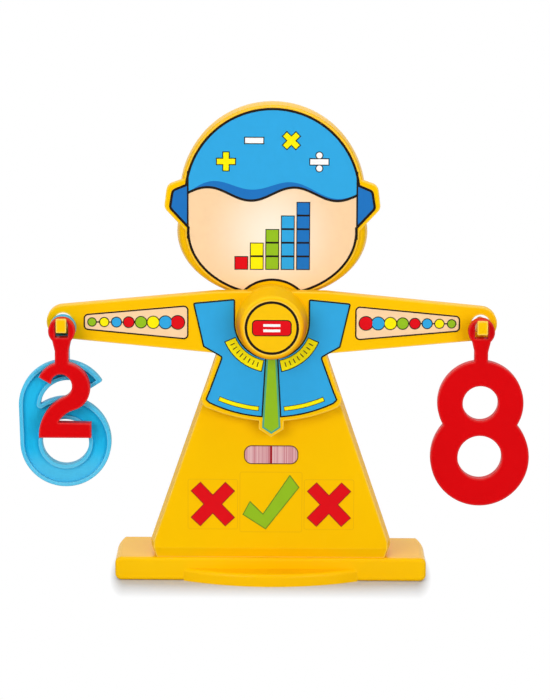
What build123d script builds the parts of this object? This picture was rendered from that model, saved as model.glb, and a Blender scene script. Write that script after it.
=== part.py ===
from build123d import *
import math
import os

os.makedirs("parts", exist_ok=True)

# Math balance toy: a foot, a two-part tower with a round head plate, a beam
# that tilts on a pin, and numerals that hang from its hooks. Millimetres,
# +Z up, +X to the right, the front faces -Y, origin under the foot's middle.

# Foot
base_width = 263.0
base_depth = 72.0
base_height = 20.0
base_wall = 2.6
base_end_round = 5.4
base_front_round = 3.0
rear_cut_width = 6.0
rear_cut_depth = 24.0
lip_width = 147.0
lip_reach = 20.0
lip_height = 10.6
lip_round = 3.0
base_rib = 2.0
base_rib_pitch = 44.0
base_rib_height = 12.0

# Tower, front and rear halves
tower_wall = 2.6
front_shell_depth = 14.0
front_draft = 2.6
rear_draft = 2.6
foot_half_width = 98.2
skirt_half_width = 101.2
skirt_low = 8.5
skirt_high = 14.0
skirt_undercut = 3.0
shoulder_half_width = 47.0
shoulder_height = 192.3
neck_height = 262.0
rear_foot_inset = 3.0
head_back_depth = 26.0

# Head plate
dome_radius = 77.0
dome_height = 328.0
dome_edge_round = 2.0
jaw_half_width = 79.2
jaw_half_height = 57.0
jaw_height = 297.0
jaw_edge_round = 6.0
panel_raise = 2.5
panel_radius = 74.4
panel_rise = 1.0
panel_jaw_half_width = 72.0
panel_jaw_half_height = 55.5
panel_jaw_height = 299.0
panel_edge_round = 0.6
lug_depth = 8.0
lug_root = 62.0
lug_root_top = 346.5
lug_shoulder_reach = 87.2
lug_shoulder_height = 337.4
lug_reach = 89.6
lug_reach_height = 318.4
lug_root_low = 289.0
lug_round = 7.0

# Pivot
pivot_height = 225.0
axle_radius = 3.0
axle_fit = 0.03
axle_head_radius = 6.0
axle_head_thickness = 2.5
axle_boss_radius = 7.0
axle_boss_setback = 2.0
clamp_bore_radius = 4.0
stop_radius = 4.0
stop_drop = 50.0
stop_length = 9.0
stop_clearance = 0.8
tilt_limit_deg = 12.0

# Beam
beam_gap = 4.0
beam_depth = 10.0
beam_wall = 2.4
beam_edge_round = 0.7
beam_rib = 1.8
beam_rib_setback = 2.4
arm_rib_pitch = 32.0
eye_reach = 173.0
eye_drop = 0.6
arm_end_radius = 13.7
arm_root_x = 45.0
arm_root_half_height = 25.9
neck_arch = 0.3
eye_radius = 7.7
eye_rim = 2.0
hip_half_width = 58.4
hip_top = 166.5
hip_top_half_width = 55.4
hip_height = 159.3
hem_half_width = 55.2
hem_height = 152.9
hem_low = 140.9
pointer_half_width = 10.4
pointer_shoulder = 134.2
pointer_tip = 127.6

# Hub boss on the beam
hub_height = 28.0
hub_base_radius = 30.0
hub_face_radius = 26.4
hub_wall = 2.4
hub_edge_round = 2.4
bearing_radius = 7.6
bearing_length = 26.0
hub_rib_count = 6
hub_rib_setback = 4.0
bush_radius = 5.0
bush_fit = 0.02
bush_bore_fit = 0.06
cap_radius = 22.4
cap_thickness = 2.4
cap_fit = 0.05
cap_ledge = 2.0
cap_ledge_thickness = 2.0
cap_skirt_length = 6.0
cap_skirt_wall = 2.0
spacer_radius = 8.0
running_play = 0.3
washer_radius = 7.0
washer_thickness = 1.0
retainer_radius = 1.5
retainer_fit = 0.02
retainer_head_radius = 2.9
retainer_head_height = 2.2
retainer_length = 9.0

# Hooks on the beam
hook_reach = 27.0
hook_bar_width = 7.0
hook_bar_height = 7.5
hook_bar_rise = 4.6
hook_tip_width = 8.6
hook_tip_height = 11.4
hook_tip_rise = 2.2
hook_tip_thickness = 3.0
hook_tip_round = 1.0
hook_groove_width = 3.6
hook_groove_depth = 4.4

# Numerals and their loops
numeral_thickness = 9.5
numeral_edge = 0.6
seat_clearance = 0.3
window_width = 10.6
window_height = 14.5
window_corner_round = 4.2
loop_radius = 11.0
loop_top_wall = 1.8
link_neck_width = 11.2
link_flare_width = 16.4
link_flare_drop = 5.6
tray_rim = 3.2
tray_depth = 3.4
red_rim = 2.4
eight_front_wall = 4.86
two_front_wall = 2.0
six_gap = 1.5
two_gap = 1.5
eight_gap = 7.0

# Numeral eight, measured from the hook eye
eight_upper_radius = 35.6
eight_upper_hole = 14.7
eight_upper_drop = 64.2
eight_lower_radius = 40.9
eight_lower_hole = 18.3
eight_lower_drop = 109.8

# Numeral six, measured from the hook eye
six_bowl_radius = 37.8
six_bowl_hole = 19.4
six_bowl_drop = 99.6
six_bowl_shift = 2.2
six_arc_radius = 37.4
six_arc_drop = 68.4
six_arc_shift = 0.9
six_inner_radius = 22.9
six_inner_drop = 70.1
six_inner_shift = 4.4
six_terminal_angle_deg = 32.7

# Numeral two, measured from the hook eye
two_width = 43.2
two_height = 62.9
two_left_shift = 19.2
two_top_drop = 30.9
two_outline_shares = {
    "terminal_outer": (0.005, 0.191),
    "crown": (0.536, 0.0),
    "right": (0.98, 0.332),
    "turn_end": (0.671, 0.627),
    "inner_corner": (0.369, 0.796),
    "bar_top": (1.0, 0.804),
    "bar_right": (1.0, 1.0),
    "bar_left": (0.0, 1.0),
    "back": (0.134, 0.662),
    "waist": (0.494, 0.457),
    "inner_top": (0.475, 0.155),
    "terminal_inner": (0.235, 0.283),
}

# Printed labels
label_thickness = 0.25
head_label_inset = 1.5
head_label_lug_inset = 3.8
head_label_hub_radius = 32.8
body_label_inset = 3.3
body_label_round = 1.6
body_label_top = 247.4
body_label_throat_half_width = 30.5
sleeve_top_x = 65.5
sleeve_top_rise = 16.6
sleeve_low_x = 57.0
sleeve_low_drop = 20.4
pointer_label_inset = 2.7
pointer_label_top = 194.8
pointer_label_top_half_width = 4.4
arm_label_inner = 69.0
arm_label_outer = 156.0
arm_label_inner_half = 14.6
arm_label_outer_half = 6.6
arm_label_round = 4.0
scale_label_width = 45.6
scale_label_height = 16.2
scale_label_round = 6.6
scale_label_centre = 109.4
mark_spread = 48.9
cross_centre = 66.6
cross_length = 42.4
cross_stroke = 11.4
cross_lean_deg = 46.5
tick_centre = 68.6
tick_width = 47.9
tick_height = 47.3
tick_outline_shares = [(0.0, 0.27), (0.13, 0.52), (0.36, 0.29), (0.83, 1.0), (1.0, 0.77), (0.41, 0.0)]

# Screws
screw_radius = 1.5
screw_fit = 0.03
screw_head_radius = 3.0
screw_head_height = 2.2
screw_length = 12.0
recess_reach = 1.8
recess_slot = 0.9
recess_depth = 1.2
screw_seat_wall = 3.0
screw_boss_radius = 4.8
screw_tunnel_radius = 3.5
pilot_boss_radius = 3.6
base_screw_x = 84.0
base_screw_front_y = -27.6
base_screw_rear_y = 14.0
base_post_height = 16.0
tower_post_height = 14.0
rear_screw_places = [(78.0, 48.0), (44.0, 150.0), (46.0, 328.0)]

# How far a cutting tool runs past the face it cuts
overrun = 1.0

# Angles of a quarter and a half turn
quarter_turn_deg = 90
half_turn_deg = 180

# Planes, heights and limits that follow from the sizes
tower_front_y = -base_depth / 2
tower_rear_y = base_depth / 2
parting_y = tower_front_y + front_shell_depth
panel_front_y = tower_front_y - panel_raise
beam_back_y = tower_front_y - beam_gap
beam_front_y = beam_back_y - beam_depth
hub_front_y = beam_front_y - hub_height
hook_tip_y = beam_front_y - hook_reach
head_top = dome_height + dome_radius
eye_height = pivot_height - eye_drop
sleeve_top_height = eye_height + sleeve_top_rise
sleeve_low_height = eye_height - sleeve_low_drop
bar_top = eye_height + hook_bar_rise
swing_height = bar_top - hook_bar_width / 2
window_top = bar_top + seat_clearance
loop_centre = window_top + loop_top_wall - loop_radius
axle_boss_y = parting_y - axle_boss_setback
axle_head_y = axle_boss_y + axle_head_thickness
bearing_front_y = beam_back_y - bearing_length
axle_end_y = bearing_front_y - running_play
washer_front_y = axle_end_y - washer_thickness
base_seat_height = base_height - base_wall - screw_seat_wall
low_reach = (Align.CENTER, Align.CENTER, Align.MIN)


def front_plane(y):
    """Sketch plane seen from the front: sketch X is X, sketch Y is Z."""
    return Plane(origin=(0, y, 0), x_dir=(1, 0, 0), z_dir=(0, -1, 0))


def side_plane(x):
    """Sketch plane seen from the right: sketch X is Y, sketch Y is Z."""
    return Plane(origin=(x, 0, 0), x_dir=(0, 1, 0), z_dir=(1, 0, 0))


def slab(sketch, back_y, front_y):
    return extrude(front_plane(back_y) * sketch, amount=back_y - front_y)


def rod(x, z, radius, back_y, front_y):
    return slab(Pos(x, z) * Circle(radius), back_y, front_y)


def cone(z, back_radius, front_radius, back_y, front_y):
    solid = Cone(back_radius, front_radius, back_y - front_y, align=low_reach)
    return front_plane(back_y) * Pos(0, z) * solid


def upright(x, y, radius, low, high):
    return Pos(x, y, low) * Cylinder(radius, high - low, align=low_reach)


def block(x_range, y_range, z_range):
    size = [high - low for low, high in (x_range, y_range, z_range)]
    return Pos(x_range[0], y_range[0], z_range[0]) * Box(*size, align=(Align.MIN, Align.MIN, Align.MIN))


def outline(points):
    return make_face(Polyline(*points, close=True))


def both_sides(points):
    """Closed outline from its right half, listed from one end of the middle to the other."""
    return outline(points + [opposite(point) for point in reversed(points) if point[0] != 0])


def front_edges(solid):
    return solid.faces().sort_by(Axis.Y)[0].edges()


def mirrored(shape):
    return mirror(shape, about=Plane.YZ)


def opposite(point):
    """The same point on the other side of the middle."""
    return (-point[0], point[1])


def pan_screw(radius, head_radius, head_height, length):
    """Screw seated at the origin: its head towards +Y with a cross recess, its shank towards -Y."""
    head = rod(0, 0, head_radius, head_height, 0)
    recess_y = (head_height - recess_depth, head_height + overrun)
    long = (-recess_reach, recess_reach)
    short = (-recess_slot / 2, recess_slot / 2)
    head -= block(long, recess_y, short) + block(short, recess_y, long)
    return head + rod(0, 0, radius, 0, -length)


# Foot


def base_plan(inset):
    """Plan of the foot: a rectangle with its two rear corners cut."""
    half_width = base_width / 2 - inset
    front = -base_depth / 2 + inset
    rear = base_depth / 2 - inset
    right = [(0, front), (half_width, front), (half_width, rear - rear_cut_depth)]
    right += [(half_width - rear_cut_width, rear), (0, rear)]
    return both_sides(right)


def base_block(inset, low):
    """The foot's form: its plan, rounded along both ends."""
    height = base_height - inset
    plan = extrude(Pos(0, 0, low) * base_plan(inset), amount=height - low)
    end_view = Pos(0, base_height / 2) * RectangleRounded(
        base_width - 2 * inset, base_height - 2 * inset, base_end_round - inset
    )
    if low < 0:
        end_view += Pos(0, low) * Rectangle(
            base_width - 2 * inset, base_height / 2 - low, align=(Align.CENTER, Align.MIN)
        )
    return plan & slab(end_view, tower_rear_y + overrun, tower_front_y - overrun)


def lip_plan(inset):
    """Plan of the grip lip: a shallow arc in front of the foot."""
    half_width = lip_width / 2 - inset
    front = tower_front_y
    back = front + base_wall
    arc = ThreePointArc((-half_width, front), (0, front - lip_reach + inset), (half_width, front))
    sides = Polyline((half_width, front), (half_width, back), (-half_width, back), (-half_width, front))
    return make_face([arc, *sides.edges()])


def base_screw_places():
    return [(side * base_screw_x, y) for side in (-1, 1) for y in (base_screw_front_y, base_screw_rear_y)]


def base_ribs():
    """Ribs under the top wall: a middle cross that reaches the ground, and shorter cross ribs."""
    high = base_height - base_wall / 2
    depth = base_depth / 2 - base_wall / 2
    reach = base_width / 2 - rear_cut_width
    half = base_rib / 2
    ribs = [
        block((-half, half), (-depth, depth), (0, high)),
        block((-reach, reach), (-half, half), (0, high)),
    ]
    for index in range(1, int(base_width / 2 / base_rib_pitch) + 1):
        for side in (-1, 1):
            x = side * index * base_rib_pitch
            ribs.append(block((x - half, x + half), (-depth, depth), (high - base_rib_height, high)))
    return ribs


def base_shell():
    body = base_block(0, 0)
    body = fillet(front_edges(body), base_front_round)
    lip = extrude(lip_plan(0), amount=lip_height)
    lip_rim = lip.faces().sort_by(Axis.Z)[-1].edges().filter_by(GeomType.CIRCLE)
    lip = fillet(lip_rim, lip_round)
    lip_hollow = extrude(Pos(0, 0, -overrun) * lip_plan(base_wall), amount=lip_height - base_wall + overrun)
    shell = body + lip - base_block(base_wall, -overrun) - lip_hollow
    shell += base_ribs()
    for x, y in base_screw_places():
        shell += upright(x, y, screw_boss_radius, base_height - base_post_height, base_height)
        shell -= upright(x, y, screw_tunnel_radius, -overrun, base_seat_height)
        shell -= upright(x, y, screw_radius + screw_fit, 0, base_height + overrun)
    return shell


def base_screws():
    screw = pan_screw(screw_radius, screw_head_radius, screw_head_height, screw_length)
    screw = Rot(-quarter_turn_deg, 0, 0) * screw
    places = [Pos(x, y, base_seat_height) for x, y in base_screw_places()]
    return Compound(children=[place * screw for place in places])


# Tower


def tower_half_width(z):
    skirt_top = base_height + skirt_high
    slope = (skirt_half_width - shoulder_half_width) / (shoulder_height - skirt_top)
    return skirt_half_width - slope * (z - skirt_top)


def tower_outline(inset, low):
    right = [
        (foot_half_width - inset, low),
        (foot_half_width - inset, base_height),
        (skirt_half_width - inset, base_height + skirt_low),
        (skirt_half_width - inset, base_height + skirt_high),
        (tower_half_width(neck_height) - inset, neck_height),
    ]
    if low == base_height:
        right.pop(0)
    return both_sides(right)


def foot_undercut(front_y, low):
    """Wedge in front of the slanted face at the tower's foot."""
    points = [
        (front_y - overrun, base_height + skirt_low),
        (front_y, base_height + skirt_low),
        (front_y + skirt_undercut, base_height),
        (front_y + skirt_undercut, low),
        (front_y - overrun, low),
    ]
    return extrude(side_plane(-base_width / 2) * outline(points), amount=base_width)


def front_mass(inset, low):
    """Solid form of the front half, moved in by inset from every outer face."""
    front_y = tower_front_y + inset
    jaw_wide = jaw_half_width - inset
    jaw_high = jaw_half_height - inset
    trunk_sections = [
        front_plane(parting_y) * tower_outline(inset, low),
        front_plane(front_y) * tower_outline(inset + front_draft, low),
    ]
    jaw_sections = [
        front_plane(parting_y) * Pos(0, jaw_height) * Ellipse(jaw_wide, jaw_high),
        front_plane(front_y) * Pos(0, jaw_height) * Ellipse(jaw_wide - front_draft, jaw_high - front_draft),
    ]
    dome = cone(dome_height, dome_radius - inset, dome_radius - inset - front_draft / 2, parting_y, front_y)
    jaw = loft(jaw_sections, ruled=True)
    if inset == 0:
        dome = fillet(front_edges(dome), dome_edge_round)
        jaw = fillet(front_edges(jaw), jaw_edge_round)
    trunk = loft(trunk_sections, ruled=True) - foot_undercut(front_y, low - overrun)
    return trunk + dome + jaw


def panel_sketch(inset, lug_inset):
    """Raised field of the head plate: dome, jaw and a lug on each side."""
    dome = Pos(0, dome_height + panel_rise) * Circle(panel_radius - inset)
    jaw = Pos(0, panel_jaw_height) * Ellipse(panel_jaw_half_width - inset, panel_jaw_half_height - inset)
    lug = [
        (lug_root, lug_root_top - lug_inset),
        (lug_shoulder_reach - lug_inset, lug_shoulder_height - lug_inset),
        (lug_reach - lug_inset, lug_reach_height),
        (lug_root, lug_root_low + lug_inset),
    ]
    lugs = both_sides(lug)
    return dome + jaw + fillet(lugs.vertices(), lug_round - lug_inset / 2)


def rear_screw_points():
    return [(side * x, z) for x, z in rear_screw_places for side in (-1, 1)]


def tower_front_shell():
    panel = slab(panel_sketch(0, 0), panel_front_y + lug_depth, panel_front_y)
    panel = fillet(front_edges(panel), panel_edge_round)
    inner_y = tower_front_y + tower_wall / 2
    shell = front_mass(0, base_height) + panel - front_mass(tower_wall, base_height - overrun)
    shell += rod(0, pivot_height, axle_boss_radius, axle_boss_y, inner_y)
    shell += rod(0, pivot_height - stop_drop, stop_radius, inner_y, tower_front_y - stop_length)
    shell -= rod(0, pivot_height, axle_radius + axle_fit, axle_boss_y + overrun, tower_front_y - overrun)
    for x, z in rear_screw_points():
        shell += rod(x, z, pilot_boss_radius, parting_y, inner_y)
        pilot_y = parting_y - screw_length + screw_seat_wall
        shell -= rod(x, z, screw_radius + screw_fit, parting_y + overrun, pilot_y)
    post_top = base_height + tower_post_height
    for side in (-1, 1):
        x = side * base_screw_x
        shell += upright(x, base_screw_front_y, pilot_boss_radius, base_height, post_top)
        web = (inner_y + skirt_undercut, base_screw_front_y)
        shell += block((x - base_rib / 2, x + base_rib / 2), web, (base_height, post_top))
        pilot_top = base_seat_height + screw_length
        shell -= upright(x, base_screw_front_y, screw_radius + screw_fit, base_height - overrun, pilot_top)
    return shell


def rear_slope_y(z):
    """Back of the tower: it leans from the foot towards the head plate."""
    foot_y = tower_rear_y - rear_foot_inset
    head_y = tower_front_y + head_back_depth
    return foot_y + (head_y - foot_y) * (z - base_height) / (head_top - base_height)


def rear_mass(inset, low):
    """Solid form of the rear half, moved in by inset from every outer face."""
    jaw_wide = jaw_half_width - inset
    jaw_high = jaw_half_height - inset
    small_jaw = Pos(0, jaw_height) * Ellipse(jaw_wide - rear_draft, jaw_high - rear_draft)
    full_jaw = Pos(0, jaw_height) * Ellipse(jaw_wide, jaw_high)
    small_trunk = front_plane(tower_rear_y) * tower_outline(inset + rear_draft, low)
    trunk = loft([small_trunk, front_plane(parting_y) * tower_outline(inset, low)], ruled=True)
    jaw = loft([front_plane(tower_rear_y) * small_jaw, front_plane(parting_y) * full_jaw], ruled=True)
    dome = cone(dome_height, dome_radius - inset - rear_draft, dome_radius - inset, tower_rear_y, parting_y)
    high = head_top + overrun
    wedge = [
        (parting_y - overrun, low),
        (rear_slope_y(low) - inset, low),
        (rear_slope_y(high) - inset, high),
        (parting_y - overrun, high),
    ]
    lean = extrude(side_plane(-base_width / 2) * outline(wedge), amount=base_width)
    return (trunk + jaw + dome) & lean


def tower_rear_cover():
    mass = rear_mass(0, base_height)
    shell = mass - rear_mass(tower_wall, base_height - overrun)
    bosses = [rod(x, z, screw_boss_radius, tower_rear_y, parting_y) for x, z in rear_screw_points()]
    bosses.append(rod(0, pivot_height, axle_boss_radius, tower_rear_y, axle_head_y))
    for boss in bosses:
        shell += boss & mass
    for x, z in rear_screw_points():
        shell -= rod(x, z, screw_tunnel_radius, tower_rear_y + overrun, parting_y + screw_seat_wall)
        shell -= rod(x, z, screw_radius + screw_fit, tower_rear_y, parting_y - overrun)
    clamp_depth = rear_slope_y(pivot_height) - 2 * tower_wall
    shell -= rod(0, pivot_height, clamp_bore_radius, clamp_depth, axle_head_y - overrun)
    post_top = base_height + tower_post_height
    wall_x = foot_half_width - rear_draft - tower_wall / 2
    for side in (-1, 1):
        x = side * base_screw_x
        shell += upright(x, base_screw_rear_y, pilot_boss_radius, base_height, post_top)
        web_y = (base_screw_rear_y - base_rib / 2, base_screw_rear_y + base_rib / 2)
        shell += block(sorted((x, side * wall_x)), web_y, (base_height, post_top))
        pilot_top = base_seat_height + screw_length
        shell -= upright(x, base_screw_rear_y, screw_radius + screw_fit, base_height - overrun, pilot_top)
    return shell


def rear_cover_screws():
    screw = pan_screw(screw_radius, screw_head_radius, screw_head_height, screw_length)
    places = [Pos(x, parting_y + screw_seat_wall, z) for x, z in rear_screw_points()]
    return Compound(children=[place * screw for place in places])


# Pivot


def pivot_axle():
    head = rod(0, pivot_height, axle_head_radius, axle_head_y, axle_boss_y)
    shaft = rod(0, pivot_height, axle_radius, axle_boss_y, axle_end_y)
    bore_radius = retainer_radius + retainer_fit
    return head + shaft - rod(0, pivot_height, bore_radius, axle_end_y + retainer_length, axle_end_y - overrun)


def pivot_spacer():
    front_y = beam_back_y + running_play
    ring = rod(0, pivot_height, spacer_radius, tower_front_y, front_y)
    return ring - rod(0, pivot_height, axle_radius + axle_fit, tower_front_y + overrun, front_y - overrun)


def retaining_washer():
    disc = rod(0, pivot_height, washer_radius, axle_end_y, washer_front_y)
    bore_radius = retainer_radius + retainer_fit
    return disc - rod(0, pivot_height, bore_radius, axle_end_y + overrun, washer_front_y - overrun)


def retaining_screw():
    screw = pan_screw(retainer_radius, retainer_head_radius, retainer_head_height, retainer_length)
    return Pos(0, washer_front_y, pivot_height) * Rot(0, 0, half_turn_deg) * screw


# Beam


def arm_sketch(inset):
    """Right arm: a taper from the root to the round end."""
    half = arm_root_half_height - inset
    root_x = arm_root_x - 2 * inset
    root = Line((root_x, eye_height - half), (root_x, eye_height + half))
    end = Pos(eye_reach, eye_height) * Circle(arm_end_radius - inset)
    return make_hull([root.edge(), *end.edges()])


def pointed_sketch(inset):
    half = pointer_half_width - inset
    shoulder = pointer_shoulder + inset / 2
    return both_sides([(0, hem_height), (half, hem_height), (half, shoulder), (0, pointer_tip + inset)])


def body_sketch(inset):
    """Middle of the beam: arched neck, flared sides and a curved hem."""
    high = eye_height + arm_root_half_height - inset
    root = (arm_root_x - inset, high)
    armpit = (arm_root_x - inset, eye_height - arm_root_half_height)
    flare = (hip_top_half_width - inset, hip_top)
    hip = (hip_half_width - inset, hip_height)
    corner = (hem_half_width - inset, hem_height + inset)
    pieces = [
        ThreePointArc(opposite(root), (0, high + neck_arch), root),
        Polyline(root, armpit, flare),
        ThreePointArc(flare, hip, corner),
        ThreePointArc(corner, (0, hem_low + inset), opposite(corner)),
        ThreePointArc(opposite(corner), opposite(hip), opposite(flare)),
        Polyline(opposite(flare), opposite(armpit), opposite(root)),
    ]
    return make_face([edge for piece in pieces for edge in piece.edges()])


def beam_sketch(inset):
    arm = arm_sketch(inset)
    return arm + mirrored(arm) + body_sketch(inset) + pointed_sketch(inset)


def beam_ribs():
    """Ribs behind the front wall; the middle pair also stops the tilt."""
    back_y = beam_back_y - beam_rib_setback
    front_y = beam_front_y + beam_wall / 2
    half = beam_rib / 2
    ribs = []
    stop_x = stop_drop * math.sin(math.radians(tilt_limit_deg)) + stop_radius + stop_clearance + half
    stop_z = (pivot_height - stop_drop - 2 * stop_radius, pivot_height - hub_base_radius)
    arm_count = int((eye_reach - arm_root_x) / arm_rib_pitch)
    arm_places = [arm_root_x + index * arm_rib_pitch for index in range(arm_count)]
    for side in (-1, 1):
        x = side * stop_x
        ribs.append(block((x - half, x + half), (front_y, back_y), stop_z))
        spine = (side * (hub_base_radius - hub_wall / 2), side * (eye_reach - eye_radius - eye_rim / 2))
        ribs.append(block(sorted(spine), (front_y, back_y), (eye_height - half, eye_height + half)))
        for place in arm_places:
            x = side * place
            heights = (eye_height - arm_root_half_height, eye_height + arm_root_half_height)
            ribs.append(block((x - half, x + half), (front_y, back_y), heights))
    shelf_x = (-hip_half_width, hip_half_width)
    ribs.append(block(shelf_x, (front_y, back_y), (stop_z[0] - half, stop_z[0] + half)))
    return ribs


def hook(side):
    """Grooved bar with a crowned top and an upturned tip, on a web in the eye."""
    x = side * eye_reach
    half = hook_bar_width / 2
    bar_low = bar_top - hook_bar_height
    crown = Pos(x, swing_height) * Circle(half)
    flanks = Pos(x, bar_low) * Rectangle(hook_bar_width, swing_height - bar_low, align=(Align.CENTER, Align.MIN))
    bar = slab(crown + flanks, beam_back_y, hook_tip_y)
    web_low = eye_height - eye_radius - eye_rim / 2
    web = block((x - half, x + half), (beam_front_y, beam_back_y), (web_low, swing_height))
    tip_high = bar_top + hook_tip_rise
    tip_half = hook_tip_width / 2
    tip_back = hook_tip_y + hook_tip_thickness
    tip = block((x - tip_half, x + tip_half), (hook_tip_y, tip_back), (tip_high - hook_tip_height, tip_high))
    tip = fillet(tip.edges().filter_by(Axis.Y), hook_tip_round)
    groove_half = hook_groove_width / 2
    groove_z = (bar_low - overrun, bar_low + hook_groove_depth)
    groove = block((x - groove_half, x + groove_half), (tip_back, beam_front_y), groove_z)
    return bar + web + tip - groove


def hub_boss():
    boss = cone(pivot_height, hub_base_radius, hub_face_radius, beam_front_y, hub_front_y)
    return fillet(front_edges(boss), hub_edge_round)


def bearing_ribs():
    """Spokes between the bearing tube and the wall of the boss."""
    back_y = beam_front_y
    front_y = bearing_front_y + hub_rib_setback
    base_radius = hub_base_radius - hub_wall / 2
    face_radius = hub_face_radius - hub_wall / 2
    room = cone(pivot_height, base_radius, face_radius, beam_front_y, hub_front_y)
    spoke = Rectangle(hub_base_radius, beam_rib, align=(Align.MIN, Align.CENTER))
    hub = Pos(0, pivot_height)
    return [slab(hub * turn * spoke, back_y, front_y) & room for turn in PolarLocations(0, hub_rib_count)]


def balance_beam():
    plate = slab(beam_sketch(0), beam_back_y, beam_front_y)
    plate = fillet(front_edges(plate), beam_edge_round)
    rims = [Pos(side * eye_reach, eye_height) * Circle(eye_radius + eye_rim) for side in (-1, 1)]
    hollow = beam_sketch(beam_wall) - rims
    beam = plate - slab(hollow, beam_back_y + overrun, beam_front_y + beam_wall)
    beam += [rib & plate for rib in beam_ribs()]
    beam += rod(0, pivot_height, hub_base_radius, beam_back_y, beam_front_y)
    beam += hub_boss()
    ledge_y = hub_front_y + cap_thickness
    room_y = ledge_y + cap_ledge_thickness
    inner_base = hub_base_radius - hub_wall
    inner_face = hub_face_radius - hub_wall
    beam -= cone(pivot_height, inner_base, inner_face, beam_front_y, room_y)
    beam -= rod(0, pivot_height, inner_base, beam_back_y + overrun, beam_front_y)
    beam -= rod(0, pivot_height, cap_radius - cap_ledge, room_y + overrun, ledge_y)
    beam -= rod(0, pivot_height, cap_radius + cap_fit, ledge_y, hub_front_y - overrun)
    beam += bearing_ribs()
    beam += rod(0, pivot_height, bearing_radius, beam_back_y, bearing_front_y)
    beam -= rod(0, pivot_height, bush_radius + bush_fit, beam_back_y + overrun, bearing_front_y - overrun)
    for side in (-1, 1):
        beam -= rod(side * eye_reach, eye_height, eye_radius, beam_back_y + overrun, beam_front_y - overrun)
        beam += hook(side)
    return beam


def hub_bush():
    tube = rod(0, pivot_height, bush_radius, beam_back_y, bearing_front_y)
    bore_radius = axle_radius + bush_bore_fit
    return tube - rod(0, pivot_height, bore_radius, beam_back_y + overrun, bearing_front_y - overrun)


def hub_cap():
    ledge_y = hub_front_y + cap_thickness
    skirt_radius = cap_radius - cap_ledge - cap_fit
    skirt_y = ledge_y + cap_skirt_length
    skirt = rod(0, pivot_height, skirt_radius, skirt_y, ledge_y)
    skirt -= rod(0, pivot_height, skirt_radius - cap_skirt_wall, skirt_y + overrun, ledge_y)
    return rod(0, pivot_height, cap_radius, ledge_y, hub_front_y) + skirt


# Numerals


def loop_sketch(numeral_top):
    """Hanging loop: ring, window for the hook and a neck down to the numeral."""
    half = link_neck_width / 2
    flare = link_flare_width / 2
    ring = Pos(0, loop_centre) * Circle(loop_radius)
    neck = both_sides(
        [
            (flare, loop_centre - link_flare_drop),
            (half, loop_centre - loop_radius - half),
            (half, numeral_top),
        ]
    )
    window = Pos(0, window_top) * Rectangle(window_width, window_height, align=(Align.CENTER, Align.MAX))
    window = fillet(window.vertices().group_by(Axis.Y)[-1], window_corner_round)
    return ring + neck - window


def eight_sketch():
    upper = Pos(0, eye_height - eight_upper_drop)
    lower = Pos(0, eye_height - eight_lower_drop)
    rings = upper * Circle(eight_upper_radius) + lower * Circle(eight_lower_radius)
    return rings - upper * Circle(eight_upper_hole) - lower * Circle(eight_lower_hole)


def six_sketch():
    """Bowl, and a tapering upper arc that ends in a radial cut."""
    arc_z = eye_height - six_arc_drop
    bowl_z = eye_height - six_bowl_drop
    bowl = Pos(six_bowl_shift, bowl_z)
    left = six_arc_shift - six_arc_radius
    reach = 2 * six_arc_radius
    angle = math.radians(six_terminal_angle_deg)
    below = [
        (six_arc_shift, arc_z),
        (six_arc_shift + reach * math.cos(angle), arc_z + reach * math.sin(angle)),
        (six_arc_shift + reach, arc_z - reach),
        (six_arc_shift, arc_z - reach),
    ]
    arc = Pos(six_arc_shift, arc_z) * Circle(six_arc_radius)
    arc -= outline(below)
    flank_foot = six_bowl_shift - six_bowl_radius
    flank = outline([(left, arc_z), (six_arc_shift, arc_z), (six_bowl_shift, bowl_z), (flank_foot, bowl_z)])
    counter = Pos(six_inner_shift, eye_height - six_inner_drop) * Circle(six_inner_radius)
    return arc + flank - counter + bowl * Circle(six_bowl_radius) - bowl * Circle(six_bowl_hole)


def two_sketch():
    place = {}
    for name, (across, down) in two_outline_shares.items():
        place[name] = (two_width * across - two_left_shift, eye_height - two_top_drop - two_height * down)
    crown = ThreePointArc(place["terminal_outer"], place["crown"], place["right"])
    turn = TangentArc(place["right"], place["turn_end"], tangent=crown % 1)
    hollow = TangentArc(place["turn_end"], place["inner_corner"], tangent=turn % 1)
    foot = Polyline(place["inner_corner"], place["bar_top"], place["bar_right"], place["bar_left"])
    back = ThreePointArc(place["bar_left"], place["back"], place["waist"])
    inner = TangentArc(place["waist"], place["inner_top"], tangent=back % 1)
    tip = TangentArc(place["inner_top"], place["terminal_inner"], tangent=inner % 1)
    cut = Line(place["terminal_inner"], place["terminal_outer"])
    return make_face([crown, turn, hollow, *foot.edges(), back, inner, tip, cut])


def numeral(sketch, hook_x, numeral_top, rear_y, rim, front_tray, rear_tray):
    """Moulded numeral with its loop; the trays lighten its faces."""
    front_y = rear_y - numeral_thickness
    solid = slab(sketch + loop_sketch(numeral_top), rear_y, front_y)
    solid = chamfer(front_edges(solid), numeral_edge)
    field = offset(sketch, amount=-rim)
    if front_tray > 0:
        solid -= slab(field, front_y + front_tray, front_y - overrun)
    solid -= slab(field, rear_y + overrun, rear_y - rear_tray)
    return Pos(hook_x, 0, 0) * solid


def number_eight():
    rear_y = beam_front_y - eight_gap
    top = eye_height - eight_upper_drop + eight_upper_radius - link_neck_width / 2
    rear_tray = numeral_thickness - eight_front_wall
    return numeral(eight_sketch(), eye_reach, top, rear_y, red_rim, 0, rear_tray)


def number_six():
    rear_y = beam_front_y - six_gap
    top = eye_height - six_arc_drop + six_arc_radius - link_neck_width / 2
    return numeral(six_sketch(), -eye_reach, top, rear_y, tray_rim, tray_depth, tray_depth)


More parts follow.
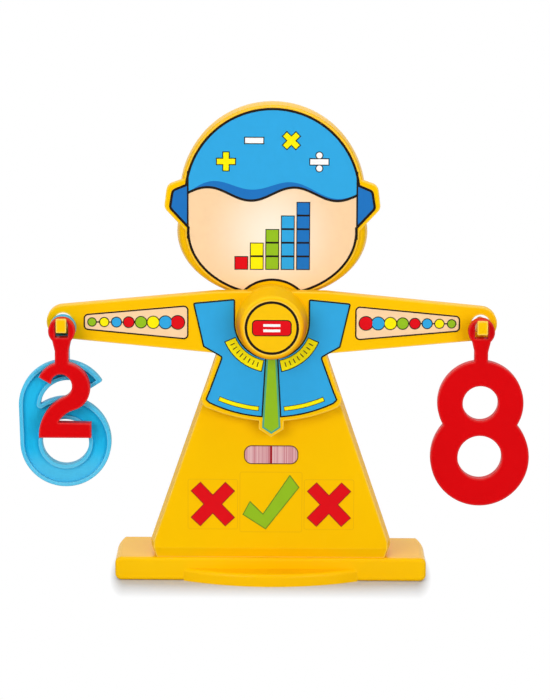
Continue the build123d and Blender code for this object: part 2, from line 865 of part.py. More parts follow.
def number_two():
    rear_y = beam_front_y - six_gap - numeral_thickness - two_gap
    top = eye_height - two_top_drop - link_neck_width / 2
    rear_tray = numeral_thickness - two_front_wall
    return numeral(two_sketch(), -eye_reach, top, rear_y, red_rim, 0, rear_tray)


# Labels


def label(sketch, surface_y):
    return slab(sketch, surface_y, surface_y - label_thickness)


def head_label():
    field = panel_sketch(head_label_inset, head_label_lug_inset)
    return label(field - Pos(0, pivot_height) * Circle(head_label_hub_radius), panel_front_y)


def body_label():
    """Field round the hub and over the shoulders, above the hem."""
    top = (0, body_label_top)
    sleeve = [(sleeve_top_x, sleeve_top_height), (sleeve_low_x, sleeve_low_height)]
    armpit = (arm_root_x - body_label_inset, eye_height - arm_root_half_height - body_label_inset)
    flare = (hip_top_half_width - body_label_inset, hip_top)
    hip = (hip_half_width - body_label_inset, hip_height)
    corner = (hem_half_width - body_label_inset, hem_height + body_label_inset)
    side = [top, *sleeve, armpit, flare, hip, corner]
    right = Polyline(*side)
    hem = ThreePointArc(corner, (0, hem_low + body_label_inset), opposite(corner))
    left = Polyline(*map(opposite, reversed(side)))
    field = make_face([*right.edges(), hem, *left.edges()])
    throat = Rectangle(2 * body_label_throat_half_width, body_label_top, align=(Align.CENTER, Align.MIN))
    field -= Pos(0, pivot_height) * (throat + Circle(body_label_throat_half_width))
    corners = [vertex for vertex in field.vertices() if abs(vertex.Y - pivot_height) > body_label_round]
    return label(fillet(corners, body_label_round) - pointer_strip(), beam_front_y)


def pointer_strip():
    half = pointer_half_width - pointer_label_inset
    return both_sides(
        [
            (0, pointer_label_top),
            (pointer_label_top_half_width, pointer_label_top),
            (half, pointer_shoulder + pointer_label_inset / 2),
            (0, pointer_tip + pointer_label_inset),
        ]
    )


def pointer_label():
    return label(pointer_strip(), beam_front_y)


def arm_label(side):
    points = [
        (arm_label_inner, eye_height - arm_label_inner_half),
        (arm_label_outer, eye_height - arm_label_outer_half),
        (arm_label_outer, eye_height + arm_label_outer_half),
        (arm_label_inner, eye_height + arm_label_inner_half),
    ]
    sketch = outline(points)
    sketch = fillet(sketch.vertices(), arm_label_round)
    solid = label(sketch, beam_front_y)
    return solid if side > 0 else mirrored(solid)


def hub_label():
    return label(Pos(0, pivot_height) * Circle(cap_radius), hub_front_y)


def scale_label():
    field = RectangleRounded(scale_label_width, scale_label_height, scale_label_round)
    return label(Pos(0, scale_label_centre) * field, tower_front_y)


def cross_label(side):
    bar = Rectangle(cross_length, cross_stroke)
    arms = Rot(0, 0, cross_lean_deg) * bar + Rot(0, 0, -cross_lean_deg) * bar
    return label(Pos(side * mark_spread, cross_centre) * arms, tower_front_y)


def tick_label():
    left = -tick_width / 2
    low = tick_centre - tick_height / 2
    points = [(left + tick_width * across, low + tick_height * up) for across, up in tick_outline_shares]
    return label(outline(points), tower_front_y)


pieces = {
    "base_shell": base_shell(),
    "base_screws": base_screws(),
    "tower_front_shell": tower_front_shell(),
    "tower_rear_cover": tower_rear_cover(),
    "rear_cover_screws": rear_cover_screws(),
    "pivot_axle": pivot_axle(),
    "pivot_spacer": pivot_spacer(),
    "retaining_washer": retaining_washer(),
    "retaining_screw": retaining_screw(),
    "balance_beam": balance_beam(),
    "hub_bush": hub_bush(),
    "hub_cap": hub_cap(),
    "number_two": number_two(),
    "number_six": number_six(),
    "number_eight": number_eight(),
    "head_label": head_label(),
    "body_label": body_label(),
    "pointer_label": pointer_label(),
    "left_arm_label": arm_label(-1),
    "right_arm_label": arm_label(1),
    "hub_label": hub_label(),
    "scale_label": scale_label(),
    "left_cross_label": cross_label(-1),
    "right_cross_label": cross_label(1),
    "tick_label": tick_label(),
}

for name, solid in pieces.items():
    solid.label = name
    export_step(solid, f"parts/{name}.step")
    print(name, round(solid.volume, 1), len(solid.solids()))
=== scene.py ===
"""Toy balance with hanging numerals: plastics, hardware, printed films and studio."""

import bmesh
import bpy
import numpy as np
from mathutils import Matrix, Vector


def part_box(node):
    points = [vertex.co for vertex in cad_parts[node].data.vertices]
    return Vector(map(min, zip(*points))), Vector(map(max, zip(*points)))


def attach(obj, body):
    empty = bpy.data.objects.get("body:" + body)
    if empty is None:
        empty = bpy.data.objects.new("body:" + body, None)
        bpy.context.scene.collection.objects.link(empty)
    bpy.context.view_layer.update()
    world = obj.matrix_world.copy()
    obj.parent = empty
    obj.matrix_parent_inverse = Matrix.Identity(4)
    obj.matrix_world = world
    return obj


bl_info = {
    "name": "Toy Balance",
    "version": (1, 0, 0),
    "blender": (4, 5, 0),
    "location": "3D View > Sidebar > Balance",
    "description": "Dresses a toy balance with plastics, printed films and a studio",
    "category": "Object",
}

MM = 0.001

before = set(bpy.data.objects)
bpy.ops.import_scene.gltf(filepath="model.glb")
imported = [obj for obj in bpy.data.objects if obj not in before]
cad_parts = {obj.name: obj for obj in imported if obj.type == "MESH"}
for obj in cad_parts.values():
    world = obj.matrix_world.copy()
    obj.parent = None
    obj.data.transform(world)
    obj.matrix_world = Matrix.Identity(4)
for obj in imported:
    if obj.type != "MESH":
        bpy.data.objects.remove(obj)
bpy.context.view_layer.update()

# Printed films lie on each other in steps of this depth
FILM = 0.04 * MM

# Height of the beam's pivot
PIVOT_Z = 225.0 * MM


# Helpers for colours


def rgb(code):
    """sRGB hex code to three shares of one."""
    return tuple(int(code[i : i + 2], 16) / 255 for i in (1, 3, 5))


def linear(code):
    """sRGB hex code to linear RGBA."""
    srgb = np.array(rgb(code))
    shares = np.where(srgb <= 0.04045, srgb / 12.92, ((srgb + 0.055) / 1.055) ** 2.4)
    return (*shares.tolist(), 1.0)


def deepened(code, share):
    """sRGB hex code with each channel taken down to a share."""
    return "#" + "".join(f"{int(int(code[i : i + 2], 16) * share):02x}" for i in (1, 3, 5))


def as_hex(key):
    """A colour setting as an sRGB hex code."""
    channels = getattr(bpy.context.scene.balance_colours, key)
    return "#" + "".join(f"{round(c * 255):02x}" for c in channels)


# Helpers for materials


def fill_node(material, node, settings, **links):
    """Sets a node's properties and inputs, and links inputs by name or as _number."""
    for key, value in settings.items():
        if isinstance(key, int) or key in node.inputs:
            node.inputs[key].default_value = value
        else:
            setattr(node, key, value)
    for key, source in links.items():
        name = int(key[1:]) if key[0] == "_" else key.replace("_", " ")
        material.node_tree.links.new(source, node.inputs[name])
    return node


def add_node(material, kind, settings=None, **links):
    """Adds one node with its settings and links."""
    return fill_node(material, material.node_tree.nodes.new(kind), settings or {}, **links)


def blank(name):
    """New material with a surface shader and its object coordinates."""
    material = bpy.data.materials.new(name)
    material.use_nodes = True
    shader = material.node_tree.nodes["Principled BSDF"]
    place = add_node(material, "ShaderNodeTexCoord").outputs["Object"]
    return material, shader, place


def tint_over(material, share, code):
    """Mixes a colour over the surface's own by a share."""
    shader = material.node_tree.nodes["Principled BSDF"]
    ground = shader.inputs["Base Color"].links[0].from_socket
    tint = add_node(material, "ShaderNodeMix", {"data_type": "RGBA", 7: linear(code)}, _0=share, _6=ground)
    fill_node(material, shader, {}, Base_Color=tint.outputs[2])


def moulded_abs(name, code, shade_code, highlight_code, roughness, gloss, reach=1.5 * MM):
    """Injection-moulded ABS: saturated body colour that deepens a trace in
    broad patches, a polished mould's faint orange peel, and edges that
    are paled for a short reach as a painted highlight, and catch light."""
    material, shader, place = blank(name)
    # the melt's flow leaves patches about 70 mm wide
    patches = add_node(material, "ShaderNodeTexNoise", {"Scale": 1 / (70 * MM), "Detail": 1.0}, Vector=place)
    spread = add_node(
        material,
        "ShaderNodeMapRange",
        {"From Min": 0.3, "From Max": 0.8},
        Value=patches.outputs["Fac"],
    )
    flow = add_node(
        material,
        "ShaderNodeMix",
        {"data_type": "RGBA", 6: linear(code), 7: linear(shade_code)},
        _0=spread.outputs["Result"],
    )
    # painted highlight on the edges: a ray into the piece that soon meets a wall marks them
    walls = add_node(
        material,
        "ShaderNodeAmbientOcclusion",
        {"samples": 6, "inside": True, "only_local": True, "Distance": reach},
    )
    painted_light = add_node(
        material,
        "ShaderNodeMapRange",
        {"From Min": 0.95, "From Max": 0.5, "To Max": 0.55},
        Value=walls.outputs["AO"],
    )
    # the marked edges are paled towards the highlight colour: a painted highlight
    edge_highlighted = add_node(
        material,
        "ShaderNodeMix",
        {"data_type": "RGBA", 7: linear(highlight_code)},
        _0=painted_light.outputs["Result"],
        _6=flow.outputs[2],
    )
    # orange peel of a polished steel mould, one swell every 5 mm
    peel = add_node(material, "ShaderNodeTexNoise", {"Scale": 1 / (5 * MM), "Detail": 0.0}, Vector=place)
    edge = add_node(material, "ShaderNodeBevel", {"samples": 8, "Radius": 0.6 * MM})
    bump = add_node(
        material,
        "ShaderNodeBump",
        {"Strength": 0.03, "Distance": 0.01 * MM},
        Height=peel.outputs["Fac"],
        Normal=edge.outputs["Normal"],
    )
    # handling leaves some areas a little duller
    wear = add_node(material, "ShaderNodeTexNoise", {"Scale": 1 / (25 * MM), "Detail": 4.0}, Vector=place)
    dull = add_node(
        material,
        "ShaderNodeMapRange",
        {"To Min": roughness - 0.02, "To Max": roughness + 0.05},
        Value=wear.outputs["Fac"],
    )
    fill_node(
        material,
        shader,
        {"IOR": 1.54, "Specular IOR Level": gloss},
        Base_Color=edge_highlighted.outputs[2],
        Roughness=dull.outputs["Result"],
        Normal=bump.outputs["Normal"],
    )
    return material


def shaded_boss_abs(name, web_y, flank_shade_code, *settings):
    """Moulded ABS with painted shade on the flank of the boss round the pivot, and matt there.

    The painted shade is the product of four soft steps: outwards from the pivot's
    axis, back inwards of the boss's foot, forwards from the web, and
    downwards past the pivot. The matt part is the product of the first three."""
    material = moulded_abs(name, *settings)
    shader = material.node_tree.nodes["Principled BSDF"]
    dull = shader.inputs["Roughness"].links[0].from_socket
    place = add_node(material, "ShaderNodeTexCoord").outputs["Object"]
    split = add_node(material, "ShaderNodeSeparateXYZ", Vector=place)
    flat = add_node(
        material,
        "ShaderNodeMapping",
        {"Location": (0, 0, -PIVOT_Z), "Scale": (1, 0, 1)},
        Vector=place,
    )
    radius = add_node(material, "ShaderNodeVectorMath", {"operation": "LENGTH"}, _0=flat.outputs["Vector"])
    products = []
    for value, start, end in (
        (radius.outputs["Value"], 22.5 * MM, 27.5 * MM),
        (radius.outputs["Value"], 33 * MM, 31 * MM),
        (split.outputs["Y"], web_y - 1 * MM, web_y - 5 * MM),
        (split.outputs["Z"], PIVOT_Z + 16 * MM, PIVOT_Z - 4 * MM),
    ):
        limits = {"interpolation_type": "SMOOTHSTEP", "From Min": start, "From Max": end}
        step = add_node(material, "ShaderNodeMapRange", limits, Value=value).outputs["Result"]
        if products:
            times = {"operation": "MULTIPLY"}
            step = add_node(material, "ShaderNodeMath", times, _0=products[-1], _1=step).outputs["Value"]
        products.append(step)
    flank, deep = products[-2:]
    # painted shade: the flank colour mixed over the body colour by all four steps
    tint_over(material, deep, flank_shade_code)
    matt_roughness = 0.6
    matt = add_node(material, "ShaderNodeMix", {3: matt_roughness}, _0=flank, _2=dull)
    fill_node(material, shader, {}, Roughness=matt.outputs[0])
    return material


def tray_lit_abs(name, low, lit_code, *settings):
    """Moulded ABS with painted light on a numeral's tray.

    It pales by two soft steps, each by its own share: towards the front of
    the upright walls, a painted highlight on the rims against painted shade in the recessed tray, and
    downwards over the foot, painted light on the tray's lower part, from the piece's low corner."""
    material = moulded_abs(name, *settings)
    place = add_node(material, "ShaderNodeTexCoord").outputs["Object"]
    split = add_node(material, "ShaderNodeSeparateXYZ", Vector=place)
    # painted light: rims paler than the shaded tray, and the lower tray paler
    for axis, start, end, most in (
        ("Y", low.y + 2.8 * MM, low.y + 1.2 * MM, 0.3),
        ("Z", low.z + 34 * MM, low.z + 12 * MM, 0.35),
    ):
        share = add_node(
            material,
            "ShaderNodeMapRange",
            {"interpolation_type": "SMOOTHSTEP", "From Min": start, "From Max": end, "To Max": most},
            Value=split.outputs[axis],
        )
        tint_over(material, share.outputs["Result"], lit_code)
    return material


def printed_vinyl(name, code):
    """Screen-printed vinyl film: even ink with a slight mottle, satin face."""
    material, shader, place = blank(name)
    # ink lies a little heavier in clouds about 6 mm wide
    mottle = add_node(material, "ShaderNodeTexNoise", {"Scale": 1 / (6 * MM), "Detail": 5.0}, Vector=place)
    tint = add_node(
        material,
        "ShaderNodeMix",
        {"data_type": "RGBA", 6: linear(code), 7: linear(deepened(code, 0.965))},
        _0=mottle.outputs["Fac"],
    )
    # the film's own grain, coarser than real so that it still shows
    grain = add_node(material, "ShaderNodeTexNoise", {"Scale": 1 / (0.8 * MM), "Detail": 2.0}, Vector=place)
    bump = add_node(
        material,
        "ShaderNodeBump",
        {"Strength": 0.03, "Distance": 0.01 * MM},
        Height=grain.outputs["Fac"],
    )
    dull = add_node(
        material,
        "ShaderNodeMapRange",
        {"To Min": 0.29, "To Max": 0.39},
        Value=mottle.outputs["Fac"],
    )
    fill_node(
        material,
        shader,
        {"IOR": 1.5, "Specular IOR Level": 0.1},
        Base_Color=tint.outputs[2],
        Roughness=dull.outputs["Result"],
        Normal=bump.outputs["Normal"],
    )
    return material


def shaded_vinyl(name, code, lit_code, centre, reach):
    """Printed vinyl whose ink pales softly towards one point of the label."""
    material = printed_vinyl(name, code)
    place = add_node(material, "ShaderNodeTexCoord").outputs["Object"]
    away = add_node(material, "ShaderNodeVectorMath", {"operation": "DISTANCE", 1: centre}, _0=place)
    share = add_node(
        material,
        "ShaderNodeMapRange",
        {"interpolation_type": "SMOOTHSTEP", "From Max": reach, "To Min": 1.0, "To Max": 0.0},
        Value=away.outputs["Value"],
    )
    tint_over(material, share.outputs["Result"], lit_code)
    return material


def striped_paper(name, line_code, field_code):
    """Coated paper printed with fine upright lines of uneven weight."""
    material, shader, place = blank(name)
    across = add_node(material, "ShaderNodeSeparateXYZ", Vector=place).outputs["X"]
    # lines every 0.9 mm, their weight drifting over about 5 mm
    fine, drift = (
        add_node(material, "ShaderNodeTexNoise", {"noise_dimensions": "1D", "Scale": 1 / width}, W=across)
        for width in (0.9 * MM, 5 * MM)
    )
    weight = add_node(
        material,
        "ShaderNodeMath",
        {"operation": "ADD"},
        _0=fine.outputs["Fac"],
        _1=drift.outputs["Fac"],
    )
    share = add_node(
        material,
        "ShaderNodeMapRange",
        {"From Min": 0.8, "From Max": 1.2},
        Value=weight.outputs["Value"],
    )
    tint = add_node(
        material,
        "ShaderNodeMix",
        {"data_type": "RGBA", 6: linear(line_code), 7: linear(field_code)},
        _0=share.outputs["Result"],
    )
    fill_node(material, shader, {"Roughness": 0.38}, Base_Color=tint.outputs[2])
    return material


def zinc_plated_steel(name, code):
    """Turned steel under bright zinc: grey-blue metal with a fine brushed grain."""
    material, shader, place = blank(name)
    stretch = add_node(material, "ShaderNodeMapping", {"Scale": (1.0, 12.0, 1.0)}, Vector=place)
    # turning marks about 0.4 mm apart
    marks = add_node(
        material,
        "ShaderNodeTexNoise",
        {"Scale": 1 / (0.4 * MM), "Detail": 2.0},
        Vector=stretch.outputs["Vector"],
    )
    dull = add_node(
        material,
        "ShaderNodeMapRange",
        {"To Min": 0.26, "To Max": 0.42},
        Value=marks.outputs["Fac"],
    )
    bump = add_node(
        material,
        "ShaderNodeBump",
        {"Strength": 0.2, "Distance": 0.01 * MM},
        Height=marks.outputs["Fac"],
    )
    fill_node(
        material,
        shader,
        {"Base Color": linear(code), "Metallic": 1.0},
        Roughness=dull.outputs["Result"],
        Normal=bump.outputs["Normal"],
    )
    return material


def natural_acetal(name, code):
    """Acetal left in its own milky white: dense, waxy and a little translucent."""
    material, shader, place = blank(name)
    # the wax-like face dulls in clouds about 4 mm wide
    cloud = add_node(material, "ShaderNodeTexNoise", {"Scale": 1 / (4 * MM), "Detail": 3.0}, Vector=place)
    dull = add_node(
        material,
        "ShaderNodeMapRange",
        {"To Min": 0.4, "To Max": 0.55},
        Value=cloud.outputs["Fac"],
    )
    fill_node(
        material,
        shader,
        {"Base Color": linear(code), "IOR": 1.48, "Subsurface Weight": 0.1, "Subsurface Scale": 1 * MM},
        Roughness=dull.outputs["Result"],
    )
    return material


def finish(name, build, *settings):
    """A material by its name, built on first use."""
    return bpy.data.materials.get(name) or build(name, *settings)


def ink(key):
    """Printed ink by its name in the colour settings."""
    return finish(f"printed vinyl {key.replace('_', ' ')}", printed_vinyl, as_hex(key))


def coat(node, material):
    """Gives a CAD node its finish."""
    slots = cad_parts[node].data.materials
    slots.clear()
    slots.append(material)


# Helpers for printed films


def film_mesh(name, near, far, front_y, rows=1):
    """Closed thin film between two curves.

    Point (u, v) is near(u) + v * (far(u) - near(u)) in the X-Z plane, u along
    the curves and v across them, at depth front_y; the same grid one film
    deeper closes the back."""
    near = np.asarray(near, float)
    far = np.asarray(far, float)
    v = np.linspace(0, 1, rows + 1)[:, None, None]
    flat = near[None] + v * (far - near)[None]
    count_v, count_u = flat.shape[:2]
    front = np.stack([flat[..., 0], np.full(flat.shape[:2], front_y), flat[..., 1]], axis=-1)
    back = front + np.array([0, FILM, 0])
    vertices = np.concatenate([front.reshape(-1, 3), back.reshape(-1, 3)])
    index = np.arange(count_v * count_u).reshape(count_v, count_u)
    a, b, c, d = index[:-1, :-1], index[:-1, 1:], index[1:, 1:], index[1:, :-1]
    faces = np.stack([a, b, c, d], axis=-1).reshape(-1, 4)
    rim = np.concatenate([index[0, :-1], index[:-1, -1], index[-1, :0:-1], index[:0:-1, 0]])
    after = np.roll(rim, -1)
    deep = count_v * count_u
    walls = np.stack([rim, rim + deep, after + deep, after], axis=-1)
    faces = np.concatenate([faces, faces[:, ::-1] + deep, walls])
    mesh = bpy.data.meshes.new(name)
    mesh.from_pydata(vertices.tolist(), [], faces.tolist())
    work = bmesh.new()
    work.from_mesh(mesh)
    bmesh.ops.remove_doubles(work, verts=work.verts, dist=0.002 * MM)
    bmesh.ops.recalc_face_normals(work, faces=work.faces)
    work.to_mesh(mesh)
    work.free()
    return mesh


def film(name, near, far, front_y, layer, key, body, rows=1):
    """One printed area as its own piece, riding on a body; key names its ink."""
    mesh = film_mesh(name, near, far, front_y - layer * FILM, rows)
    piece = bpy.data.objects.new(name, mesh)
    bpy.context.scene.collection.objects.link(piece)
    mesh.materials.append(ink(key))
    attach(piece, body)
    return piece


def join(name, pieces):
    """Makes several films of one ink one piece."""
    first = pieces[0]
    if len(pieces) > 1:
        with bpy.context.temp_override(active_object=first, selected_editable_objects=pieces):
            bpy.ops.object.join()
    first.name = name


def front_face(node):
    """Y of a node's front."""
    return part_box(node)[0].y


def outlines(node):
    """Ordered outlines of a label's front face, one array of X-Z points for each."""
    work = bmesh.new()
    work.from_mesh(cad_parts[node].data)
    bmesh.ops.remove_doubles(work, verts=work.verts, dist=0.001 * MM)
    rest = [face for face in work.faces if face.normal.y > -0.9]
    bmesh.ops.delete(work, geom=rest, context="FACES")
    bmesh.ops.dissolve_faces(work, faces=work.faces)
    loops = [np.array([(v.co.x, v.co.z) for v in face.verts]) for face in work.faces]
    work.free()
    return loops


def closed(loop):
    """The loop with its first point again at its end."""
    return np.vstack([loop, loop[:1]])


def moved_in(loop, width):
    """Closed loop moved inwards: each point goes along its mitre, by the width
    over the cosine of half the turn, which is kept from growing at sharp corners."""
    before = loop - np.roll(loop, 1, axis=0)
    after = np.roll(loop, -1, axis=0) - loop
    twice_area = np.sum(loop[:, 0] * np.roll(loop[:, 1], -1) - loop[:, 1] * np.roll(loop[:, 0], -1))
    side = np.sign(twice_area)
    normals = [np.stack([-e[:, 1], e[:, 0]], axis=1) * side for e in (before, after)]
    normals = [n / np.linalg.norm(n, axis=1, keepdims=True) for n in normals]
    total = normals[0] + normals[1]
    share = 1 + np.sum(normals[0] * normals[1], axis=1, keepdims=True)
    sharpest = 0.35
    return loop + width * total / np.maximum(share, sharpest)


def border(name, node, width, key, body, layer=1):
    """Printed line round a label, between each of its outlines and the same outline moved in."""
    pieces = []
    for index, loop in enumerate(outlines(node)):
        curves = closed(loop), closed(moved_in(loop, width))
        pieces.append(film(f"{name}_{index}", *curves, front_face(node), layer, key, body))
    join(name, pieces)


def arc(centre, radius, start, end, count=96):
    """Points centre + radius * (cos, sin) from start to end, in degrees."""
    angle = np.radians(np.linspace(start, end, count))
    return np.asarray(centre) + radius * np.stack([np.cos(angle), np.sin(angle)], axis=1)


def disc(centre, radius):
    """Near and far curves of a filled circle: its middle, and its rim."""
    rim = arc(centre, radius, 0, 360)
    return np.broadcast_to(np.asarray(centre, float), rim.shape), rim


def stroke(line, width):
    """Near and far curves of a line: the line moved half its width each way along its normal."""
    line = np.asarray(line, float)
    ahead = np.gradient(line, axis=0)
    ahead /= np.linalg.norm(ahead, axis=1, keepdims=True)
    normal = np.stack([-ahead[:, 1], ahead[:, 0]], axis=1)
    return line - normal * width / 2, line + normal * width / 2


def box_shape(centre, width, height):
    """Near and far edges of an upright rectangle."""
    corners = np.array([(-width, -height), (width, -height), (-width, height), (width, height)]) / 2
    return corners[:2] + np.asarray(centre), corners[2:] + np.asarray(centre)


def plus_shape(centre, length, width, turn=0.0):
    """Near and far curves of a plus: its middle, and its twelve corners turned in degrees."""
    a, b = length / 2, width / 2
    quarter = np.array([(b, b), (b, a), (-b, a)])
    turns = np.radians(turn + 90 * np.arange(4))
    corners = [quarter @ np.array([[np.cos(t), np.sin(t)], [-np.sin(t), np.cos(t)]]) for t in turns]
    rim = closed(np.vstack(corners)) + np.asarray(centre)
    return np.broadcast_to(np.asarray(centre, float), rim.shape), rim


def round_box(centre, width, height, radius, count=12):
    """Near and far curves of a rectangle with round corners, from its lower half to its upper half."""
    x = width / 2 - radius
    z = height / 2 - radius
    left = arc((-x, -z), radius, 180, 270, count)
    right = arc((x, -z), radius, 270, 360, count)
    low = np.vstack([left, right])
    return np.asarray(centre) + low, np.asarray(centre) + low * [1, -1]


def round_frame(centre, width, height, radius, line):
    """Near and far curves of a line round a rectangle with round corners."""
    loops = []
    for step in (0, line):
        low, high = round_box(centre, width - 2 * step, height - 2 * step, radius - step)
        loops.append(closed(np.vstack([low, high[::-1]])))
    return loops


def outlined(name, shapes, line, front_y, layer, key, body):
    """Shapes printed over a black, slightly larger copy of themselves.

    A shape is a function of the growth on every side that returns its two curves."""
    backs = []
    fronts = []
    for index, shape in enumerate(shapes):
        backs.append(film(f"{name}_back_{index}", *shape(line), front_y, layer, "black", body))
        fronts.append(film(f"{name}_front_{index}", *shape(0), front_y, layer + 1, key, body))
    join(f"{name}_line", backs)
    join(name, fronts)


# Settings


def colour_setting(name, description, code):
    """Colour shown as sRGB in the interface."""
    return bpy.props.FloatVectorProperty(
        name=name, description=description, default=rgb(code), size=3, min=0, max=1, subtype="COLOR_GAMMA"
    )


def size_setting(name, description, millimetres):
    """Length given in millimetres and held in metres."""
    return bpy.props.FloatProperty(
        name=name,
        description=description,
        default=millimetres * MM,
        min=0,
        unit="LENGTH",
        subtype="DISTANCE",
    )


def angle_setting(name, description, degrees):
    """Angle given in degrees and held in radians."""
    return bpy.props.FloatProperty(
        name=name, description=description, default=np.radians(degrees), unit="ROTATION", subtype="ANGLE"
    )


class BalanceColours(bpy.types.PropertyGroup):
    """Colours of the plastics and the inks, as sRGB."""

    shell: colour_setting("Shell", "Yellow of the stand and the beam", "#fcc400")
    shell_shade: colour_setting("Shell shade", "Deeper patches in the yellow", "#fabf00")
    # painted highlight colour for the yellow's edges
    shell_edge_highlight: colour_setting("Shell edge highlight", "Painted highlight on the yellow's edges", "#ffe88a")
    # painted shade on the flank of the beam's boss
    flank: colour_setting("Boss flank shade", "Painted shade round the beam's boss", "#e08400")
    # painted shade: the cap's amber is a deeper copy of the shell's yellow
    cap: colour_setting("Cap", "Deeper amber of the hub's cap, painted shade for its sides", "#f5b200")
    red: colour_setting("Red", "Red numerals", "#da050b")
    red_shade: colour_setting("Red shade", "Deeper patches in the red", "#d4050a")
    # painted highlight colour for the red's edges
    red_edge_highlight: colour_setting("Red edge highlight", "Painted highlight on the red's edges", "#ec6a64")
    blue: colour_setting("Blue", "Blue numeral", "#28bfea")
    blue_shade: colour_setting("Blue shade", "Deeper patches in the blue", "#08adde")
    # painted highlight colour for the blue's edges
    blue_edge_highlight: colour_setting("Blue edge highlight", "Painted highlight on the blue's edges", "#8cd8f4")
    # painted light on the blue numeral's rims and lower tray
    blue_lit: colour_setting("Blue lit", "Painted light on the rims and foot of the blue numeral", "#7ad0ea")
    sky: colour_setting("Sky ink", "Light blue fields", "#31a8e1")
    deep_blue: colour_setting("Deep blue ink", "Dark blue bands", "#1e73be")
    peach: colour_setting("Peach ink", "Pale fields", "#fdd5a5")
    lemon: colour_setting("Lemon ink", "Bright yellow areas", "#fff000")
    green: colour_setting("Green ink", "Pointer and tick", "#95c11f")
    teal: colour_setting("Teal ink", "Pointer's edge", "#4ca78d")
    dark_green: colour_setting("Dark green ink", "Tick's edge", "#5f8320")
    scarlet: colour_setting("Scarlet ink", "Crosses", "#e30613")
    dark_red: colour_setting("Dark red ink", "Crosses' edges and the centre line", "#a3131a")
    black: colour_setting("Black ink", "Outlines", "#1a1208")
    white: colour_setting("White ink", "Signs", "#fbfbf7")
    amber: colour_setting("Amber ink", "Hub's field", "#fcc400")
    brown: colour_setting("Brown ink", "Thin line round the scale", "#5d3a10")
    # painted shade along the cut edge of the clear film
    film_edge: colour_setting("Film edge", "Painted shade along the cut edge of the clear film round a mark", "#f2b600")


class PrintSizes(bpy.types.PropertyGroup):
    """Sizes of the printed motifs."""

    outline: size_setting("Outline", "Width of the outlines round labels", 2.0)
    thin_line: size_setting("Thin line", "Width of the lines round small motifs", 0.8)
    block: size_setting("Block", "Side of a counting block", 10.6)
    sign: size_setting("Sign", "Length of a sign's bar", 15.0)
    bead: size_setting("Bead", "Radius of the largest bead", 5.4)
    ring: size_setting("Ring", "Width of the hub's ring", 2.1)
    margin: size_setting("Margin", "Clear film round a printed mark", 2.4)


class StudioSettings(bpy.types.PropertyGroup):
    """The camera's place and its picture."""

    distance: size_setting("Distance", "From the camera to the middle of the object", 2600)
    aim_height: size_setting("Aim height", "Height that the camera looks at", 201.5)
    tilt: angle_setting("Tilt", "Camera's angle down", 10.6)
    roll: angle_setting("Roll", "Camera's turn about its view", 0.3)
    pixel: size_setting("Pixel", "Width that one pixel of the picture spans at the aim", 0.83)


# Pieces


class BALANCE_OT_plastics(bpy.types.Operator):
    """Gives the moulded pieces their plastics"""

    bl_idname = "balance.plastics"
    bl_label = "Plastics"

    def execute(self, context):
        # each plastic's third colour is the painted highlight on its edges
        yellow = [as_hex(key) for key in ("shell", "shell_shade", "shell_edge_highlight")]
        shaded_ambers = [as_hex(key) for key in ("cap", "shell_shade", "shell_edge_highlight")]
        reds = [as_hex(key) for key in ("red", "red_shade", "red_edge_highlight")]
        blues = [as_hex(key) for key in ("blue", "blue_shade", "blue_edge_highlight")]
        # the numbers are roughness and gloss, and for the foot also the reach of its painted edge highlight
        foot = finish("moulded ABS yellow polished", moulded_abs, *yellow, 0.2, 0.07, 0.5 * MM)
        tower = finish("moulded ABS yellow", moulded_abs, *yellow, 0.25, 0.03)
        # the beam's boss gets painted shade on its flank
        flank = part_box("body_label")[0].y, as_hex("flank")
        beam = finish("moulded ABS yellow satin", shaded_boss_abs, *flank, *yellow, 0.35, 0.04)
        # the cap's deeper amber is painted shade for its sides round the hub
        cap = finish("moulded ABS amber", moulded_abs, *shaded_ambers, 0.3, 0.07)
        red = finish("moulded ABS red", moulded_abs, *reds, 0.3, 0.03)
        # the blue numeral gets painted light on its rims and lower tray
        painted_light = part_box("number_six")[0], as_hex("blue_lit")
        blue = finish("moulded ABS blue", tray_lit_abs, *painted_light, *blues, 0.3, 0.03)
        coat("base_shell", foot)
        coat("tower_front_shell", tower)
        coat("tower_rear_cover", tower)
        coat("balance_beam", beam)
        coat("hub_cap", cap)
        coat("number_two", red)
        coat("number_eight", red)
        coat("number_six", blue)
        return {"FINISHED"}


class BALANCE_OT_hardware(bpy.types.Operator):
    """Gives the screws, the axle and the bearing pieces their finishes"""

    bl_idname = "balance.hardware"
    bl_label = "Hardware"

    def execute(self, context):
        steel = finish("zinc-plated steel turned", zinc_plated_steel, "#b8bcc0")
        acetal = finish("acetal natural", natural_acetal, "#eeebe2")
        for node in (
            "base_screws",
            "rear_cover_screws",
            "pivot_axle",
            "retaining_washer",
            "retaining_screw",
        ):
            coat(node, steel)
        for node in ("pivot_spacer", "hub_bush"):
            coat(node, acetal)
        return {"FINISHED"}


